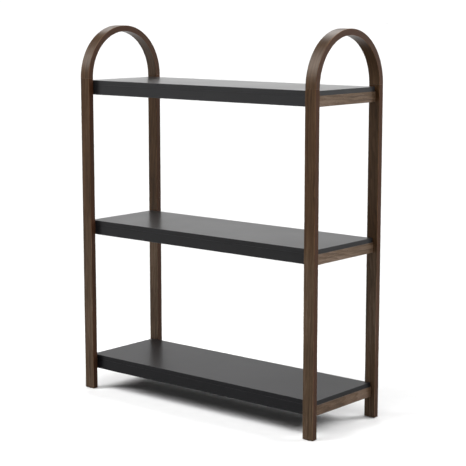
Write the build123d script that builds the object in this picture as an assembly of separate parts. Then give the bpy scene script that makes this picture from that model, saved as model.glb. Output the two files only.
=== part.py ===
from build123d import *

import os
from itertools import product

# A free-standing open shelf unit with three tiers. Two bentwood end frames, each an
# upside-down U, carry three black boards on side rails. All sizes are in millimetres.
# The origin is on the floor under the middle of the unit: +X runs along the shelves to
# the right, -Y faces the front and +Z is up. Every physical piece is one STEP file, and
# identical fasteners share a file as separate solids.

# Overall size
WIDTH = 794.0  # over the outer faces of the two end frames
DEPTH = 280.0  # over the front and rear legs
HEIGHT = 1000.0  # floor to the crown of the arches

# Bentwood end frames
LEG_WIDTH = 32.0  # along X
LEG_THICK = 16.0  # along Y in the legs, and radially round the arch
LEG_ROUND = 1.0  # rounding of the long edges
FOOT_ARRIS = 0.6  # broken edge round the sawn foot of each leg
SEAM_ARRIS = 0.4  # broken edges that show a fine seam, arch to leg and panel to apron
ARCH_RADIUS = DEPTH / 2  # outer radius, a full half circle from leg to leg
SPRING_Z = HEIGHT - ARCH_RADIUS  # where the straight legs end and the arch begins

# Shelves, named by tier, with the height of each top face
SHELF_TOPS = {"top": 854.5, "middle": 472.0, "bottom": 94.5}
PANEL_THICK = 12.0
SHELF_DROP = 38.5  # panel and apron together
SHELF_GAP = 3.0  # between a shelf's long edges and the legs
PANEL_ARRIS = 1.0  # broken edge round the top and the corners of a panel
APRON_THICK = 16.0
APRON_END_GAP = 0.5  # between an apron's end and the side rail
APRON_ARRIS = 1.0  # broken lower edges of an apron

# Side rails
RAIL_THICK = 16.0  # along X
RAIL_INSET = 12.0  # outer face of a rail behind the outer face of the legs
RAIL_HEIGHT = SHELF_DROP - PANEL_THICK
RAIL_LOWER_ROUND = 1.5
RAIL_UPPER_ARRIS = 0.4

# Glued dowels. Each hole is deeper than its dowel by GLUE_ROOM at either end.
DOWEL_DIAMETER = 6.0
DOWEL_CHAMFER = 0.8
GLUE_ROOM = 1.0
ARCH_DOWEL_LENGTH = 36.0  # half in the leg and half in the arch
ARCH_DOWEL_SPACING = 16.0
RAIL_DOWEL_IN_LEG = 10.0
RAIL_DOWEL_IN_RAIL = 16.0
RAIL_DOWEL_SPACING = 13.0
APRON_DOWEL_IN_PANEL = 7.0
APRON_DOWEL_IN_APRON = 13.0
APRON_DOWEL_COUNT = 5
APRON_DOWEL_PITCH = 170.0

# M5 button-head bolts that hold a shelf down on its rails, and their insert nuts
BOLT_DIAMETER = 5.0
BOLT_LENGTH = 25.0
BOLT_HOLE_DIAMETER = 5.5
BOLT_Y = 80.0  # two bolts to a rail, this far in front of and behind the middle
HEAD_DIAMETER = 9.5
HEAD_HEIGHT = 2.75
HEAD_RIM = 0.5  # height of the straight rim under the dome
SOCKET_FLATS = 3.0
SOCKET_DEPTH = 1.6
COUNTERBORE_DIAMETER = 10.5
COUNTERBORE_DEPTH = 8.5
NUT_DIAMETER = 8.0
NUT_LENGTH = 8.0
NUT_HOLE_DEPTH = 9.0
NUT_WAIST_DIAMETER = 7.2
NUT_WAIST_LENGTH = 1.6

# Nail-on glides under the legs
GLIDE_DIAMETER = 13.0
GLIDE_THICK = 1.5
GLIDE_ROUND = 0.5
NAIL_DIAMETER = 2.5
NAIL_LENGTH = 14.0

# Places worked out from the sizes above
LEG_X = WIDTH / 2 - LEG_WIDTH / 2
LEG_Y = DEPTH / 2 - LEG_THICK / 2
LEG_INNER_Y = DEPTH / 2 - LEG_THICK
SHELF_END_X = WIDTH / 2 - RAIL_INSET
SHELF_FACE_Y = LEG_INNER_Y - SHELF_GAP
RAIL_X = SHELF_END_X - RAIL_THICK / 2
APRON_END_X = SHELF_END_X - RAIL_THICK - APRON_END_GAP
APRON_Y = SHELF_FACE_Y - APRON_THICK / 2

SIDES = {"left": -1, "right": 1}
ENDS = {"front": -1, "rear": 1}


def rail_bottom(tier):
    return SHELF_TOPS[tier] - SHELF_DROP


def panel_bottom(tier):
    return SHELF_TOPS[tier] - PANEL_THICK


def slab(x, y, z):
    """A box given by its low and high limits along each axis."""
    corner = Pos(x[0], y[0], z[0])
    low = (Align.MIN, Align.MIN, Align.MIN)
    return corner * Box(x[1] - x[0], y[1] - y[0], z[1] - z[0], align=low)


def rod(start, direction, diameter, length):
    """A plain cylinder that starts at a point and runs along a direction."""
    plane = Plane(origin=start, z_dir=direction)
    base = (Align.CENTER, Align.CENTER, Align.MIN)
    return plane * Cylinder(diameter / 2, length, align=base)


# Dowelled joints. Each joint is a point on the meeting face, the direction across it,
# and how deep the dowel goes behind and ahead of that face.


def arch_joints(side):
    spacing = ARCH_DOWEL_SPACING / 2
    depth = ARCH_DOWEL_LENGTH / 2
    for end, step in product(ENDS.values(), (-spacing, spacing)):
        yield (side * LEG_X + step, end * LEG_Y, SPRING_Z), (0, 0, 1), depth, depth


def rail_joints(side, tier):
    middle = rail_bottom(tier) + RAIL_HEIGHT / 2
    spacing = RAIL_DOWEL_SPACING / 2
    for end, step in product(ENDS.values(), (-spacing, spacing)):
        point = (side * RAIL_X, end * LEG_INNER_Y, middle + step)
        yield point, (0, -end, 0), RAIL_DOWEL_IN_LEG, RAIL_DOWEL_IN_RAIL


def apron_joints(end, tier):
    first = -APRON_DOWEL_PITCH * (APRON_DOWEL_COUNT - 1) / 2
    for i in range(APRON_DOWEL_COUNT):
        point = (first + i * APRON_DOWEL_PITCH, end * APRON_Y, panel_bottom(tier))
        yield point, (0, 0, 1), APRON_DOWEL_IN_APRON, APRON_DOWEL_IN_PANEL


def across_joint(joint, spare):
    """A cylinder of dowel diameter across a joint, longer by spare at both ends."""
    point, direction, behind, ahead = joint
    start = Vector(*point) - Vector(*direction) * (behind + spare)
    return rod(start, direction, DOWEL_DIAMETER, behind + ahead + 2 * spare)


def dowels(joints):
    pins = [across_joint(joint, 0) for joint in joints]
    return [chamfer(pin.edges().filter_by(GeomType.CIRCLE), DOWEL_CHAMFER) for pin in pins]


def dowel_holes(joints):
    return [across_joint(joint, GLUE_ROOM) for joint in joints]


# Wooden end frames


def leg(side, end):
    """A straight leg with its dowel holes and the nail hole for its glide."""
    section = RectangleRounded(LEG_WIDTH, LEG_THICK, LEG_ROUND)
    bar = extrude(section, SPRING_Z - GLIDE_THICK)
    bar = Pos(side * LEG_X, end * LEG_Y, GLIDE_THICK) * bar
    bar = chamfer(bar.faces().sort_by(Axis.Z)[0].edges(), FOOT_ARRIS)
    bar = fillet(bar.faces().sort_by(Axis.Z)[-1].edges(), SEAM_ARRIS)
    bar -= dowel_holes(arch_joints(side))
    for tier in SHELF_TOPS:
        bar -= dowel_holes(rail_joints(side, tier))
    bar -= glide_nail(side, end)
    return bar


def arch(side):
    """The half ring that joins the tops of the two legs of one end frame."""
    section = RectangleRounded(LEG_WIDTH, LEG_THICK, LEG_ROUND)
    section = Pos(side * LEG_X, -LEG_Y, SPRING_Z) * section
    axis = Axis((0, 0, SPRING_Z), (-1, 0, 0))
    ring = revolve(section, axis=axis, revolution_arc=180)
    ring = fillet(ring.edges().group_by(Axis.Z)[0], SEAM_ARRIS)
    return ring - dowel_holes(arch_joints(side))


def side_rail(side, tier):
    """A rail between the front and rear legs, drilled from below for the shelf bolts."""
    bottom = rail_bottom(tier)
    inner = side * RAIL_X - RAIL_THICK / 2
    rail = slab(
        (inner, inner + RAIL_THICK),
        (-LEG_INNER_Y, LEG_INNER_Y),
        (bottom, bottom + RAIL_HEIGHT),
    )
    long_edges = rail.edges().filter_by(Axis.Y).sort_by(Axis.Z)
    rail = fillet(long_edges[:2], RAIL_LOWER_ROUND)
    upper_edges = rail.edges().filter_by(Axis.Y).group_by(Axis.Z)[-1]
    rail = chamfer(upper_edges, RAIL_UPPER_ARRIS)
    rail -= dowel_holes(rail_joints(side, tier))
    for end in ENDS.values():
        foot = (side * RAIL_X, end * BOLT_Y, bottom)
        rail -= rod(foot, (0, 0, 1), COUNTERBORE_DIAMETER, COUNTERBORE_DEPTH)
        rail -= rod(foot, (0, 0, 1), BOLT_HOLE_DIAMETER, RAIL_HEIGHT)
    return rail


# Black shelves


def shelf_panel(tier):
    """The flat board of a shelf, with blind holes in its underside."""
    bottom = panel_bottom(tier)
    panel = slab(
        (-SHELF_END_X, SHELF_END_X),
        (-SHELF_FACE_Y, SHELF_FACE_Y),
        (bottom, bottom + PANEL_THICK),
    )
    upper_edges = panel.edges().group_by(Axis.Z)[-1]
    panel = fillet(upper_edges + panel.edges().filter_by(Axis.Z), PANEL_ARRIS)
    panel = chamfer(panel.edges().group_by(Axis.Z)[0], SEAM_ARRIS)
    for end in ENDS.values():
        panel -= dowel_holes(apron_joints(end, tier))
    for side, end in product(SIDES.values(), ENDS.values()):
        mouth = (side * RAIL_X, end * BOLT_Y, bottom)
        panel -= rod(mouth, (0, 0, 1), NUT_DIAMETER, NUT_HOLE_DEPTH)
    return panel


def apron(end, tier):
    """The long strip under a panel's front or rear edge, flush with that edge."""
    board = slab(
        (-APRON_END_X, APRON_END_X),
        (end * APRON_Y - APRON_THICK / 2, end * APRON_Y + APRON_THICK / 2),
        (rail_bottom(tier), panel_bottom(tier)),
    )
    board = chamfer(board.edges().filter_by(Axis.X).group_by(Axis.Z)[0], APRON_ARRIS)
    board = chamfer(board.edges().filter_by(Axis.X).group_by(Axis.Z)[-1], SEAM_ARRIS)
    return board - dowel_holes(apron_joints(end, tier))


# Fasteners and glides


def bolt_places(tier):
    """Where each bolt of a shelf seats: the top of the counterbore in the rail."""
    seat = rail_bottom(tier) + COUNTERBORE_DEPTH
    for side, end in product(SIDES.values(), ENDS.values()):
        yield Pos(side * RAIL_X, end * BOLT_Y, seat)


def bolt():
    """A button-head bolt: domed head below its seat and a plain shank above it."""
    rim = HEAD_DIAMETER / 2
    crown = SOCKET_FLATS * 0.7
    corners = ((crown, -HEAD_HEIGHT), (0, -HEAD_HEIGHT), (0, 0), (rim, 0), (rim, -HEAD_RIM))
    dome = TangentArc((crown, -HEAD_HEIGHT), (rim, -HEAD_RIM), tangent=(1, 0))
    profile = Plane.XZ * make_face([*Polyline(*corners).edges(), dome])
    head = revolve(profile, axis=Axis.Z)
    socket = extrude(RegularPolygon(SOCKET_FLATS / 2, 6, major_radius=False), SOCKET_DEPTH)
    head -= Pos(0, 0, -HEAD_HEIGHT) * socket
    return head + rod((0, 0, 0), (0, 0, 1), BOLT_DIAMETER, BOLT_LENGTH)


def insert_nut():
    """A cylindrical insert with a waist, threaded right through."""
    body = rod((0, 0, 0), (0, 0, 1), NUT_DIAMETER, NUT_LENGTH)
    waist_z = (NUT_LENGTH - NUT_WAIST_LENGTH) / 2
    band = rod((0, 0, waist_z), (0, 0, 1), NUT_DIAMETER, NUT_WAIST_LENGTH)
    core = rod((0, 0, waist_z), (0, 0, 1), NUT_WAIST_DIAMETER, NUT_WAIST_LENGTH)
    return body - (band - core) - rod((0, 0, 0), (0, 0, 1), BOLT_DIAMETER, NUT_LENGTH)


def insert_nuts(tier):
    """The nuts sit in the panel, straight above the bolt seats."""
    lift = Pos(0, 0, RAIL_HEIGHT - COUNTERBORE_DEPTH)
    return [place * lift * insert_nut() for place in bolt_places(tier)]


def glide_nail(side, end):
    """The shank of a glide, which fills its hole in the foot of the leg."""
    return rod((side * LEG_X, end * LEG_Y, GLIDE_THICK), (0, 0, 1), NAIL_DIAMETER, NAIL_LENGTH)


def glide(side, end):
    """A nylon disc with its nail moulded in."""
    disc = rod((side * LEG_X, end * LEG_Y, 0), (0, 0, 1), GLIDE_DIAMETER, GLIDE_THICK)
    lower_edge = disc.edges().filter_by(GeomType.CIRCLE).sort_by(Axis.Z)[0]
    return fillet(lower_edge, GLIDE_ROUND) + glide_nail(side, end)


def write(node, *shapes):
    """One STEP per node. Several shapes stay separate solids in one group."""
    whole = shapes[0] if len(shapes) == 1 else Compound(children=list(shapes))
    export_step(whole, f"parts/{node}.step")


os.makedirs("parts", exist_ok=True)

for hand, side in SIDES.items():
    write(f"{hand}_arch", arch(side))
    for name, end in ENDS.items():
        write(f"{hand}_{name}_leg", leg(side, end))
    for tier in SHELF_TOPS:
        write(f"{hand}_{tier}_rail", side_rail(side, tier))
    rail_dowels = [dowel for tier in SHELF_TOPS for dowel in dowels(rail_joints(side, tier))]
    write(f"{hand}_rail_dowels", *rail_dowels)
    write(f"{hand}_arch_dowels", *dowels(arch_joints(side)))

for tier in SHELF_TOPS:
    write(f"{tier}_shelf_panel", shelf_panel(tier))
    for name, end in ENDS.items():
        write(f"{tier}_{name}_apron", apron(end, tier))
    apron_dowels = [dowel for end in ENDS.values() for dowel in dowels(apron_joints(end, tier))]
    write(f"{tier}_apron_dowels", *apron_dowels)
    write(f"{tier}_shelf_bolts", *[place * bolt() for place in bolt_places(tier)])
    write(f"{tier}_insert_nuts", *insert_nuts(tier))

corners = product(SIDES.values(), ENDS.values())
write("floor_glides", *[glide(side, end) for side, end in corners])
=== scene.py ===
import math

import bpy
from mathutils import Euler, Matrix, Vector


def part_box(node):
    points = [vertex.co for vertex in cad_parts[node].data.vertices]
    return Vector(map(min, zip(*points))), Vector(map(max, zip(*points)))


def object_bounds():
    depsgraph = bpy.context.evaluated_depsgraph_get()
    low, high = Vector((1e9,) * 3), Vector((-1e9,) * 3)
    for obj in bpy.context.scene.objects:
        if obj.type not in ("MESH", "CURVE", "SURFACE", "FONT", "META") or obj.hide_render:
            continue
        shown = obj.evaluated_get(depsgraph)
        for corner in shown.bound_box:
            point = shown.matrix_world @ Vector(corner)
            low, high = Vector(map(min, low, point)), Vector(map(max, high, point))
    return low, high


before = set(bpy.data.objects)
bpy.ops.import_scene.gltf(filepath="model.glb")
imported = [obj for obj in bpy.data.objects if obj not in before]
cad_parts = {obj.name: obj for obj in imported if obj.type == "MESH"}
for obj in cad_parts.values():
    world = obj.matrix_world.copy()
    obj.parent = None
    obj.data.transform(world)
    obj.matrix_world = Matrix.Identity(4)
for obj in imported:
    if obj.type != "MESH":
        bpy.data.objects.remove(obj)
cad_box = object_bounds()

# An open shelf unit: black boards between two walnut bentwood end frames. Every node of
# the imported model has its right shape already, so the nodes are shown as they are and
# this script gives them their materials, the floor, the light and the camera. Lengths
# are in metres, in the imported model's own frame.

MM = 0.001
WHITE = (1.0, 1.0, 1.0, 1.0)
SIDES = ("left", "right")
TIERS = ("top", "middle", "bottom")
NOISE_LOW, NOISE_HIGH = 0.3, 0.7  # nearly all values of a noise lie between these


# Short ways to build node trees


class Nodes:
    """A node tree, with short ways to add and link nodes."""

    def __init__(self, tree):
        self.tree = tree

    def add(self, kind, **settings):
        node = self.tree.nodes.new(kind)
        for key, value in settings.items():
            setattr(node, key, value)
        return node

    def feed(self, socket, value):
        """Link an output to a socket, or set the socket's own value."""
        if isinstance(value, bpy.types.NodeSocket):
            self.tree.links.new(value, socket)
        elif value is not None:
            socket.default_value = value

    def math(self, operation, a, b=None):
        node = self.add("ShaderNodeMath", operation=operation)
        self.feed(node.inputs[0], a)
        self.feed(node.inputs[1], b)
        return node.outputs[0]

    def total(self, *terms):
        """The sum of (value, weight) terms."""
        values = [self.math("MULTIPLY", value, weight) for value, weight in terms]
        result = values[0]
        for value in values[1:]:
            result = self.math("ADD", result, value)
        return result

    def vector_math(self, operation, a, b=None):
        node = self.add("ShaderNodeVectorMath", operation=operation)
        self.feed(node.inputs[0], a)
        self.feed(node.inputs[1], b)
        scalar = operation in ("LENGTH", "DOT_PRODUCT")
        return node.outputs["Value" if scalar else "Vector"]

    def combine(self, x, y, z):
        node = self.add("ShaderNodeCombineXYZ")
        for socket, value in zip(node.inputs, (x, y, z)):
            self.feed(socket, value)
        return node.outputs[0]

    def separate(self, vector):
        node = self.add("ShaderNodeSeparateXYZ")
        self.feed(node.inputs[0], vector)
        return node.outputs

    def place(self):
        """The point being shaded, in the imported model's frame."""
        return self.add("ShaderNodeTexCoord").outputs["Object"]

    def noise(self, vector, scale, detail=2.0, roughness=0.5):
        """Noise from 0 to 1, with scale in features per metre along each axis."""
        node = self.add("ShaderNodeTexNoise")
        self.feed(node.inputs["Vector"], self.vector_math("MULTIPLY", vector, scale))
        self.feed(node.inputs["Scale"], 1.0)
        self.feed(node.inputs["Detail"], detail)
        self.feed(node.inputs["Roughness"], roughness)
        return node.outputs["Fac"]

    def remap(self, value, low, high, to_low=0.0, to_high=1.0, smooth=False):
        """A value carried from one range to another and held inside it."""
        kind = "SMOOTHSTEP" if smooth else "LINEAR"
        node = self.add("ShaderNodeMapRange", interpolation_type=kind)
        for socket, number in zip(node.inputs, (value, low, high, to_low, to_high)):
            self.feed(socket, number)
        return node.outputs["Result"]

    def spread(self, noise, low, high):
        """The usual values of a noise, carried to a range."""
        return self.remap(noise, NOISE_LOW, NOISE_HIGH, low, high)

    def ramp(self, value, stops):
        """Colours along a value, as (position, (r, g, b)) stops in linear light."""
        node = self.add("ShaderNodeValToRGB")
        elements = node.color_ramp.elements
        while len(elements) < len(stops):
            elements.new(1.0)
        for element, (position, colour) in zip(elements, stops):
            element.position = position
            element.color = (*colour, 1.0)
        self.feed(node.inputs[0], value)
        return node.outputs[0]

    def two_tone(self, noise, dark, light):
        """Two colours, blended by the usual values of a noise."""
        return self.ramp(noise, ((NOISE_LOW, dark), (NOISE_HIGH, light)))

    def curve(self, value, points):
        """A smooth curve through (value, result) points."""
        node = self.add("ShaderNodeFloatCurve")
        curve = node.mapping.curves[0]
        while len(curve.points) < len(points):
            curve.points.new(0.5, 0.5)
        for point, place in zip(curve.points, points):
            point.location = place
        node.mapping.update()
        self.feed(node.inputs["Value"], value)
        return node.outputs[0]

    def mix(self, share, a, b):
        """Colour a, with a share of colour b over it."""
        node = self.add("ShaderNodeMix", data_type="RGBA")
        self.feed(node.inputs[0], share)
        self.feed(node.inputs[6], a)
        self.feed(node.inputs[7], b)
        return node.outputs[2]

    def scaled(self, colour, by):
        """A colour times another colour, or times one number."""
        if not isinstance(by, tuple):
            by = self.combine(by, by, by)
        return self.vector_math("MULTIPLY", colour, by)

    def bump(self, height, depth):
        """A bump of a real depth in metres."""
        node = self.add("ShaderNodeBump")
        self.feed(node.inputs["Distance"], depth)
        self.feed(node.inputs["Height"], height)
        return node.outputs[0]


class Finish(Nodes):
    """The node tree of a new material."""

    def __init__(self, name):
        self.material = bpy.data.materials.new(name)
        self.material.use_nodes = True
        super().__init__(self.material.node_tree)
        self.shader = self.tree.nodes["Principled BSDF"]

    def set(self, **values):
        """Set or link the shader's inputs; underscores stand for spaces."""
        for key, value in values.items():
            self.feed(self.shader.inputs[key.replace("_", " ")], value)
        return self.material


# Walnut. Each piece has one of three fibre directions, and all three functions take the
# nodes and the place's coordinates.


def fibre_upright(n, at):
    """(across, depth, along) for a leg: the fibres run along Z."""
    return at["X"], at["Y"], at["Z"]


def fibre_level(n, at):
    """(across, depth, along) for a side rail: the fibres run along Y."""
    return at["Z"], at["X"], at["Y"]


def fibre_round(n, at):
    """(across, depth, along) for an arch: the fibres run round its bend."""
    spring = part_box("left_arch")[0].z
    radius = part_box("left_arch")[1].y
    rise = n.math("SUBTRACT", at["Z"], spring)
    reach = n.vector_math("LENGTH", n.combine(0.0, at["Y"], rise))
    angle = n.math("ARCTAN2", at["Y"], rise)
    return at["X"], n.math("SUBTRACT", reach, radius), n.math("MULTIPLY", angle, radius)


# Colours of the wood, in linear light
WALNUT_DARK = (0.028, 0.0145, 0.007)
WALNUT_MID = (0.056, 0.030, 0.015)
WALNUT_LIGHT = (0.088, 0.053, 0.033)
PALE_FOOT = (1.4, 1.7, 2.3)  # how much paler the legs are lower down
PALE_FADE = (0.37, 0.53)  # heights between which that fades out
OIL_TINT = (1.0, 0.92, 0.84, 1.0)  # the warm sheen of the oil
WALNUT_GLOSS = (0.31, 0.42)  # roughness, from the smoothest streaks to the roughest

# How fine each part of the figure is, across, through and along the fibres
SWAY_SCALE = (10, 10, 4)
PATCH_SCALE = (22, 22, 5)
RIPPLE_SCALE = (60, 60, 11)
STREAK_SCALE = (170, 170, 6)
PORE_SCALE = (1700, 1700, 90)
FIBRE_SCALE = (2600, 2600, 60)

# How much each part counts in the figure, and the values that look darkest and lightest
LATE_WOOD_WEIGHT = -0.3
STREAK_WEIGHT = 1.35
PATCH_WEIGHT = 1.05
FIGURE_RANGE = (0.68, 1.42)

STREAK_BEND = 14 * MM  # how far the ripple bends the streaks
PORE_RANGE = (0.62, 0.72)  # noise values between which a pore opens
PORE_COVER = 0.6  # how much a pore darkens the wood
FIBRE_TONE = (0.88, 1.12)
GRAIN_DEPTH = 0.05 * MM

RING_SPACING = 9 * MM
RING_RIPPLE = 2.6  # how far the ripple moves the rings, in ring spacings
RING_SHAPE = ((0.0, 0.4), (0.2, 0.1), (0.6, 0.45), (0.88, 0.95), (1.0, 0.4))
PITH_OFFSET = (11 * MM, 48 * MM)  # from the pith to the model's origin, across and through
PITH_SPREAD = (20 * MM, 10 * MM)  # added to that, times the piece's seed
PITH_LEAN = 0.14  # how fast the pith drifts away, per metre of length
PITH_SWAY = 22 * MM

# The faces to either side of a bent piece
WALNUT_EDGE = (0.042, 0.0142, 0.0050)  # its laminations edge on, which are redder
EDGE_GLOSS = 0.6  # roughness
EDGE_COVER = 0.9  # how much of the figure they hide
EDGE_TURN = (0.8, 0.95)  # how far a surface faces sideways to show them a little and fully
PLY_SCALE = (1, 800, 1)
PLY_DARK = 0.8  # tone of the darker laminations
# Painted shade: these faces are darkened towards the floor, where less light reaches them
FOOT_PAINTED_SHADE = 0.7  # tone of these faces at the floor
FOOT_HEIGHT = 0.2  # height above which they have their full tone

# The painted highlight along the rounded edges between those faces and the others, where
# the edges catch the light: how much paler it makes them, and where it lies, by how far
# the surface faces sideways
EDGE_HIGHLIGHT_TONE = 2.3
EDGE_HIGHLIGHT_BAND = ((0.0, 0.0), (0.15, 0.0), (0.4, 1.0), (0.85, 1.0), (0.98, 0.0))

# The kinds of piece
LEG = {"fibre": fibre_upright, "tint": (0.81, 0.74, 0.58), "ior": 1.27, "bent": True}
ARCH = {"fibre": fibre_round, "tint": (0.86, 0.79, 0.62), "ior": 1.34, "bent": True}
RAIL = {"fibre": fibre_level, "tint": (1.72, 2.05, 2.50), "ior": 1.28, "bent": False}
# The bottom rail's darker tint is painted shade, for its place near the floor
SHADED_BOTTOM_RAIL = {**RAIL, "tint": (1.35, 1.50, 1.70)}


def growth_rings(n, across, depth, along, seed, slow, ripple):
    """Dark late wood, from rings round a pith that leans and sways along the fibres."""
    sway = n.math("MULTIPLY", n.math("SUBTRACT", slow, 0.5), PITH_SWAY)
    lean = n.math("MULTIPLY", along, PITH_LEAN)
    log = n.combine(across, n.math("ADD", depth, lean), 0.0)
    log = n.vector_math("ADD", log, n.combine(sway, sway, 0.0))
    offset = [o + spread * s for o, spread, s in zip(PITH_OFFSET, PITH_SPREAD, seed)]
    log = n.vector_math("ADD", log, (*offset, 0.0))
    rings = n.total((n.vector_math("LENGTH", log), 1 / RING_SPACING), (ripple, RING_RIPPLE))
    return n.curve(n.math("FRACT", rings), RING_SHAPE)


def laminated_edge(n, colour, gloss, depth, height):
    """Colour and roughness of a bent piece, with its laminations edge on to either side,
    painted shade on those faces near the floor and a painted highlight along the edges."""
    normal = n.separate(n.add("ShaderNodeNewGeometry").outputs["Normal"])
    turned = n.math("ABSOLUTE", normal["X"])
    facing = n.remap(turned, *EDGE_TURN)
    plies = n.noise(n.combine(0.0, depth, 0.0), PLY_SCALE, detail=1.0)
    layers = n.two_tone(plies, tuple(PLY_DARK * c for c in WALNUT_EDGE), WALNUT_EDGE)
    # Painted shade, darker towards the floor
    layers = n.scaled(layers, n.remap(height, 0.0, FOOT_HEIGHT, FOOT_PAINTED_SHADE, 1.0))
    colour = n.mix(n.math("MULTIPLY", facing, EDGE_COVER), colour, layers)
    # A painted highlight along the rounded edges, where they catch the light
    colour = n.mix(n.curve(turned, EDGE_HIGHLIGHT_BAND), colour, n.scaled(colour, EDGE_HIGHLIGHT_TONE))
    return colour, n.remap(facing, 0.0, 1.0, gloss, EDGE_GLOSS)


def walnut(name, seed, fibre, tint, ior, bent):
    """Oiled walnut: growth rings, wavy streaks, broad patches, fine fibres and pores, all
    along the piece's own fibre direction. seed says where in the log the piece lay."""
    n = Finish(name)
    at = n.separate(n.place())
    across, depth, along = fibre(n, at)
    grain = n.vector_math("ADD", n.combine(across, depth, along), seed)

    slow = n.noise(grain, SWAY_SCALE)
    ripple = n.noise(grain, RIPPLE_SCALE, detail=4.0, roughness=0.6)
    patches = n.noise(grain, PATCH_SCALE)
    late_wood = growth_rings(n, across, depth, along, seed, slow, ripple)
    bend = n.math("MULTIPLY", n.math("SUBTRACT", ripple, 0.5), STREAK_BEND)
    waved = n.vector_math("ADD", grain, n.combine(bend, bend, 0.0))
    streaks = n.noise(waved, STREAK_SCALE, detail=5.0, roughness=0.65)
    fibres = n.noise(grain, FIBRE_SCALE)
    pores = n.remap(n.noise(grain, PORE_SCALE, detail=1.0), *PORE_RANGE)

    figure = n.total(
        (late_wood, LATE_WOOD_WEIGHT),
        (streaks, STREAK_WEIGHT),
        (patches, PATCH_WEIGHT),
    )
    figure = n.remap(figure, *FIGURE_RANGE)
    colour = n.ramp(figure, ((0.0, WALNUT_DARK), (0.5, WALNUT_MID), (1.0, WALNUT_LIGHT)))
    colour = n.scaled(colour, tint)
    if fibre is fibre_upright:
        share = n.remap(at["Z"], *PALE_FADE, 1.0, 0.0, smooth=True)
        colour = n.mix(share, colour, n.scaled(colour, PALE_FOOT))
    gloss = n.remap(n.total((streaks, 1.0), (pores, 0.2)), 0.2, 0.9, *WALNUT_GLOSS)
    if bent:
        colour, gloss = laminated_edge(n, colour, gloss, depth, at["Z"])
    colour = n.scaled(colour, n.remap(fibres, 0.25, 0.75, *FIBRE_TONE))
    colour = n.mix(n.math("MULTIPLY", pores, PORE_COVER), colour, (*WALNUT_DARK, 1.0))
    relief = n.total((fibres, 0.3), (pores, -1.0))
    return n.set(
        Base_Color=colour,
        Roughness=gloss,
        Normal=n.bump(relief, GRAIN_DEPTH),
        IOR=ior,
        Specular_Tint=OIL_TINT,
    )


# The other finishes


# Colour and IOR of the paint on each shelf. The lighter colour and higher IOR towards the
# top shelf are painted light, and the darker colour lower down is painted shade, for how each
# shelf is lit
BLACK_PAINT_AND_SHADE = {
    "top": ((0.0160, 0.0160, 0.0170), 1.32),
    "middle": ((0.0120, 0.0120, 0.0128), 1.25),
    "bottom": ((0.0058, 0.0058, 0.0068), 1.25),
}
PAINT_TONE = (0.9, 1.1)
PAINT_GLOSS = (0.28, 0.31)
PEEL_DEPTH = 0.0012 * MM


def black_board(name, seed, paint, ior):
    """Satin black paint over a smooth board, with a faint orange peel."""
    n = Finish(name)
    spot = n.vector_math("ADD", n.place(), seed)
    peel = n.noise(spot, (420, 420, 420), detail=3.0, roughness=0.6)
    cloud = n.noise(spot, (7, 7, 7), detail=3.0)
    # Each shelf's paint colour holds painted light and shade, lighter on the upper shelves
    return n.set(
        Base_Color=n.scaled(paint, n.spread(cloud, *PAINT_TONE)),
        Roughness=n.spread(cloud, *PAINT_GLOSS),
        Normal=n.bump(peel, PEEL_DEPTH),
        IOR=ior,
    )


def beech(name):
    """Pale dowel wood with fine flecks."""
    n = Finish(name)
    flecks = n.noise(n.place(), (900, 900, 900), detail=3.0, roughness=0.6)
    return n.set(
        Base_Color=n.ramp(flecks, ((0.35, (0.42, 0.27, 0.15)), (0.65, (0.60, 0.42, 0.25)))),
        Roughness=n.spread(flecks, 0.55, 0.7),
        Normal=n.bump(flecks, 0.05 * MM),
    )


def metal(name, dark, light, scale, gloss):
    """A metal with faint tool marks, between two tones and two roughnesses."""
    n = Finish(name)
    marks = n.noise(n.place(), scale, detail=3.0)
    return n.set(
        Base_Color=n.two_tone(marks, dark, light),
        Metallic=1.0,
        Roughness=n.spread(marks, *gloss),
        Normal=n.bump(marks, 0.01 * MM),
    )


def plated_steel(name):
    return metal(name, (0.50, 0.51, 0.53), (0.62, 0.63, 0.64), (700, 700, 2200), (0.24, 0.38))


def brass(name):
    return metal(name, (0.55, 0.38, 0.14), (0.70, 0.50, 0.20), (200, 200, 5000), (0.28, 0.42))


def nylon(name):
    """Dark moulded nylon."""
    n = Finish(name)
    grain = n.noise(n.place(), (1500, 1500, 1500))
    return n.set(
        Base_Color=n.two_tone(grain, (0.020, 0.020, 0.021), (0.030, 0.030, 0.031)),
        Roughness=n.spread(grain, 0.45, 0.6),
        Normal=n.bump(grain, 0.02 * MM),
    )


def finish(node, material):
    """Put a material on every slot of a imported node."""
    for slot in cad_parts[node].material_slots:
        slot.material = material


def finish_end_frames():
    """Walnut for each end frame. No two pieces share a seed, so no two look alike."""
    for i, side in enumerate(SIDES):
        for j, end in enumerate(("front", "rear")):
            node = f"{side}_{end}_leg"
            seed = (0.7 * i + 0.13, 0.4 * j + 0.21, 1.9 * i + 0.9 * j)
            finish(node, walnut(f"walnut_{node}", seed, **LEG))
        node = f"{side}_arch"
        finish(node, walnut(f"walnut_{node}", (0.5 * i + 0.37, 0.11, 3.1 * i + 0.4), **ARCH))
        for j, tier in enumerate(TIERS):
            node = f"{side}_{tier}_rail"
            seed = (0.23 * j, 0.6 * i + 0.3, 0.8 * j + 2.3 * i)
            # The bottom rails take the darker tint of painted shade
            cut = SHADED_BOTTOM_RAIL if tier == "bottom" else RAIL
            finish(node, walnut(f"walnut_{node}", seed, **cut))


def finish_shelves():
    for i, tier in enumerate(TIERS):
        for j, part in enumerate(("shelf_panel", "front_apron", "rear_apron")):
            node = f"{tier}_{part}"
            seed = (1.3 * i, 0.7 * j, 0.0)
            finish(node, black_board(f"black_{node}", seed, *BLACK_PAINT_AND_SHADE[tier]))


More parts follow.
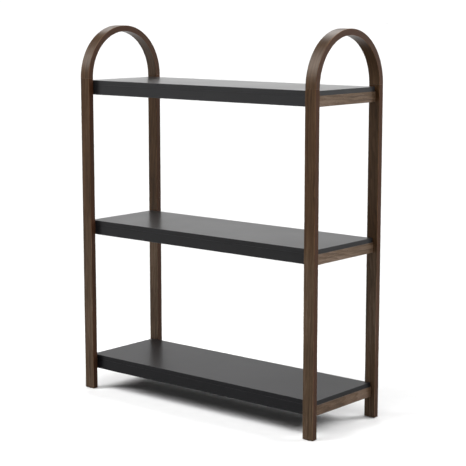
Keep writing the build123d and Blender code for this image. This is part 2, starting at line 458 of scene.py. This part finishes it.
def finish_fixings():
    dowel, steel, nut = beech("beech_dowel"), plated_steel("zinc_steel"), brass("brass_insert")
    for side in SIDES:
        finish(f"{side}_rail_dowels", dowel)
        finish(f"{side}_arch_dowels", dowel)
    for tier in TIERS:
        finish(f"{tier}_apron_dowels", dowel)
        finish(f"{tier}_shelf_bolts", steel)
        finish(f"{tier}_insert_nuts", nut)
    finish("floor_glides", nylon("dark_nylon"))


# Studio


FLOOR_HALF = 60.0  # half the floor's width, so that its rim is out of sight
FLOOR_NEAR = 0.80  # tone of the floor where the unit's shadow falls on it
FLOOR_FAR = 0.58  # and where it lies open, which is enough to look white there
FLOOR_FADE = (0.12, 1.0)  # metres out from under the unit, from one tone to the other
FLOOR_BOUNCE = 0.53  # tone of the floor for the light that it throws back on to the unit
FLOOR_FLECK = (0.99, 1.01)


def studio_paper(name):
    """The pale floor. It is lighter to the camera than to the unit, as in a product
    picture whose ground has been lightened to white."""
    n = Finish(name)
    spot = n.vector_math("ABSOLUTE", n.place())
    outside = n.vector_math("SUBTRACT", spot, (cad_box[1][0], cad_box[1][1], 0.0))
    distance = n.vector_math("LENGTH", n.vector_math("MAXIMUM", outside, (0.0, 0.0, 0.0)))
    tone = n.remap(distance, *FLOOR_FADE, FLOOR_NEAR, FLOOR_FAR, smooth=True)
    fleck = n.noise(n.place(), (40, 40, 40), detail=4.0)
    tone = n.math("MULTIPLY", tone, n.spread(fleck, *FLOOR_FLECK))
    seen = n.add("ShaderNodeLightPath").outputs["Is Camera Ray"]
    tone = n.remap(seen, 0.0, 1.0, FLOOR_BOUNCE, tone)
    return n.set(Base_Color=n.combine(tone, tone, tone), Roughness=0.9, Specular_IOR_Level=0.0)


def add_floor():
    signs = ((-1, -1), (1, -1), (1, 1), (-1, 1))
    corners = [(x * FLOOR_HALF, y * FLOOR_HALF, 0) for x, y in signs]
    mesh = bpy.data.meshes.new("studio_floor")
    mesh.from_pydata(corners, [], [(0, 1, 2, 3)])
    mesh.materials.append(studio_paper("studio_paper"))
    floor = bpy.data.objects.new("studio_floor", mesh)
    bpy.context.scene.collection.objects.link(floor)


# Soft boxes round the unit: azimuth, elevation, half width and half height in degrees,
# and brightness. Azimuth 0 is in front of the unit and 90 is to its right.
SOFT_BOXES = (
    (-42, 48, 12, 19, 10.6),
    (-15, 70, 20, 13, 4.5),
    (71, 36, 17, 12, 7.0),
    (145, 37, 16, 15, 12.4),
    (-137, 39, 17, 14, 4.0),
)
GLOSS_CARD = (-46, 24, 16, 11, 6.5)  # a low card that only shows in the gloss
BOX_FADE = (0.7, 1.3)  # from full to dark at a box's rim, as shares of its half width
ROOM_LEVEL = 0.03  # the dim light from everywhere else
BACKDROP_LEVEL = 1.05  # brightness of the white behind the unit, to the camera
SWEEP_BEHIND = 2.9  # brightness of the sweep where it is brightest
SWEEP_IN_FRONT = 0.6  # and all round the other side
SWEEP_AZIMUTH = -155  # where the sweep is brightest
SWEEP_HEIGHT = 14  # degrees above the horizon


def toward(azimuth, elevation):
    """Unit vector from the unit in a direction."""
    a, e = math.radians(azimuth), math.radians(elevation)
    return Vector((math.sin(a) * math.cos(e), -math.cos(a) * math.cos(e), math.sin(e)))


def soft_box(n, direction, azimuth, elevation, half_width, half_height, brightness):
    """How bright one soft box looks in a direction, with a soft edge all round."""
    middle = toward(azimuth, elevation)
    aside = toward(azimuth + 90, 0)
    upward = middle.cross(aside) / math.sin(math.radians(half_height))
    aside = aside / math.sin(math.radians(half_width))
    x = n.vector_math("DOT_PRODUCT", direction, aside)
    y = n.vector_math("DOT_PRODUCT", direction, upward)
    reach = n.vector_math("LENGTH", n.combine(x, y, 0.0))
    glow = n.remap(reach, *BOX_FADE, brightness, 0.0, smooth=True)
    ahead = n.math("GREATER_THAN", n.vector_math("DOT_PRODUCT", direction, middle), 0.0)
    return n.math("MULTIPLY", glow, ahead)


def sweep(n, direction):
    """The pale sweep round the horizon, brighter behind the unit than in front of it."""
    ahead = n.vector_math("DOT_PRODUCT", direction, toward(SWEEP_AZIMUTH, 0))
    level = n.remap(ahead, 0.0, 0.9, SWEEP_IN_FRONT, SWEEP_BEHIND, smooth=True)
    top = math.sin(math.radians(SWEEP_HEIGHT))
    return n.math("MULTIPLY", level, n.remap(n.separate(direction)["Z"], 0.0, top, 1.0, 0.0))


def add_world():
    """The studio. The camera sees plain white behind the unit. The unit is lit by the
    soft boxes and the sweep, and its gloss shows them and one low card."""
    world = bpy.data.worlds.new("studio")
    world.use_nodes = True
    n = Nodes(world.node_tree)
    direction = n.add("ShaderNodeTexCoord").outputs["Generated"]
    level = n.math("ADD", sweep(n, direction), ROOM_LEVEL)
    for box in SOFT_BOXES:
        level = n.math("ADD", level, soft_box(n, direction, *box))
    ray = n.add("ShaderNodeLightPath").outputs
    card = n.math("MULTIPLY", soft_box(n, direction, *GLOSS_CARD), ray["Is Glossy Ray"])
    level = n.math("ADD", level, card)
    studio = n.add("ShaderNodeBackground")
    n.feed(studio.inputs["Color"], WHITE)
    n.feed(studio.inputs["Strength"], level)
    backdrop = n.add("ShaderNodeBackground")
    n.feed(backdrop.inputs["Color"], WHITE)
    n.feed(backdrop.inputs["Strength"], BACKDROP_LEVEL)
    choose = n.add("ShaderNodeMixShader")
    n.feed(choose.inputs["Fac"], ray["Is Camera Ray"])
    n.feed(choose.inputs[1], studio.outputs[0])
    n.feed(choose.inputs[2], backdrop.outputs[0])
    n.feed(n.tree.nodes["World Output"].inputs["Surface"], choose.outputs[0])
    bpy.context.scene.world = world


CAMERA_PLACE = (2.444, -2.871, 1.061)
CAMERA_TURN = 40.13  # degrees, from facing +Y towards -X
CAMERA_TILT = 9.06  # degrees below the horizon
CAMERA_LENS = 111.5  # mm, on a 36 mm sensor


def add_camera():
    data = bpy.data.cameras.new("camera")
    data.lens = CAMERA_LENS
    camera = bpy.data.objects.new("camera", data)
    camera.location = CAMERA_PLACE
    tilt, turn = math.radians(90 - CAMERA_TILT), math.radians(CAMERA_TURN)
    camera.rotation_euler = Euler((tilt, 0, turn))
    bpy.context.scene.collection.objects.link(camera)
    bpy.context.scene.camera = camera


finish_end_frames()
finish_shelves()
finish_fixings()
add_floor()
add_world()
add_camera()
bpy.context.scene.view_settings.view_transform = "Standard"
